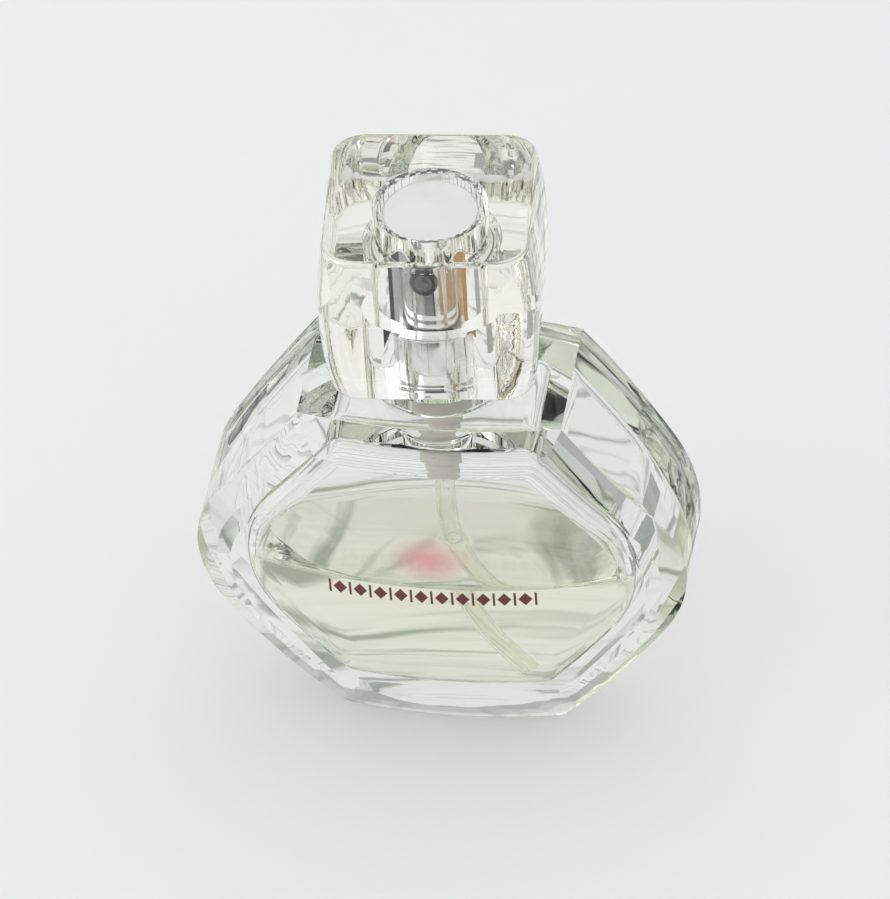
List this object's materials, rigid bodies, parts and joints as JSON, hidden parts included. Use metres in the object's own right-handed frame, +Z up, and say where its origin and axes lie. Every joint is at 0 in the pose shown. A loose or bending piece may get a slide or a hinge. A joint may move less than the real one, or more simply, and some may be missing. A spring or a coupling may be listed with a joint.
{
  "type": "perfume atomiser",
  "caption": "Thick clear glass flacon, hexagonal from the front with domed faces, part filled, with a crimped mist pump, chrome actuator and clear square cap.",
  "frame": {"origin": "middle of the flat base, on the surface the bottle stands on", "axes": "+Z up along the neck, -Y out of the front face that the spray leaves by, +X to the right seen from the front"},
  "size_m": [0.0582, 0.028, 0.0765],
  "materials": {
    "bottle_glass": "thick clear flint glass, fire polished",
    "perfume_liquid": "clear pale yellow-green liquid",
    "tube_plastic": "clear extruded tube",
    "gasket_rubber": "dark grey elastomer",
    "natural_plastic": "natural, slightly milky moulding",
    "spring_steel": "bright drawn wire and polished ball",
    "white_plastic": "white moulding",
    "ferrule_aluminium": "bright pressed sheet",
    "silver_chrome": "mirror bright silver plating",
    "nozzle_plastic": "dark grey moulding",
    "clear_acrylic": "thick clear acrylic, polished",
    "liner_plastic": "clear moulded insert"
  },
  "bodies": {
    "bottle": {"glass_bottle": "bottle_glass", "perfume": "perfume_liquid", "dip_tube": "tube_plastic", "neck_gasket": "gasket_rubber", "pump_body": "natural_plastic", "ball_retainer": "natural_plastic", "return_spring": "spring_steel", "pump_closure": "white_plastic", "stem_seal": "gasket_rubber", "ferrule": "ferrule_aluminium", "collar": "silver_chrome"},
    "inlet_valve": {"inlet_ball": "spring_steel"},
    "stem": {"stem": "white_plastic", "valve_spring": "spring_steel"},
    "piston": {"piston": "natural_plastic"},
    "actuator": {"actuator_core": "white_plastic", "actuator_shell": "silver_chrome", "nozzle_insert": "nozzle_plastic"},
    "cap": {"cap": "clear_acrylic", "cap_liner": "liner_plastic"}
  },
  "joints": [
    {"name": "stem_press", "type": "slide", "parent": "bottle", "child": "stem", "axis": [0, 0, -1], "range_m": [0, 0.0036], "stiffness_N_per_m": 1500, "springref_m": -0.002, "deforming": ["return_spring"]},
    {"name": "actuator_turn", "type": "hinge", "parent": "stem", "child": "actuator", "pos_m": [0, 0, 0.0654], "axis": [0, 0, 1], "continuous": true},
    {"name": "piston_lift", "type": "slide", "parent": "stem", "child": "piston", "axis": [0, 0, 1], "range_m": [0, 0.0006], "stiffness_N_per_m": 500, "springref_m": -0.001, "deforming": ["valve_spring"]},
    {"name": "inlet_ball_lift", "type": "slide", "parent": "bottle", "child": "inlet_valve", "axis": [0, 0, 1], "range_m": [0, 0.0015]},
    {"name": "cap_lift", "type": "slide", "parent": "bottle", "child": "cap", "axis": [0, 0, 1], "range_m": [0, 0.045]}
  ]
}
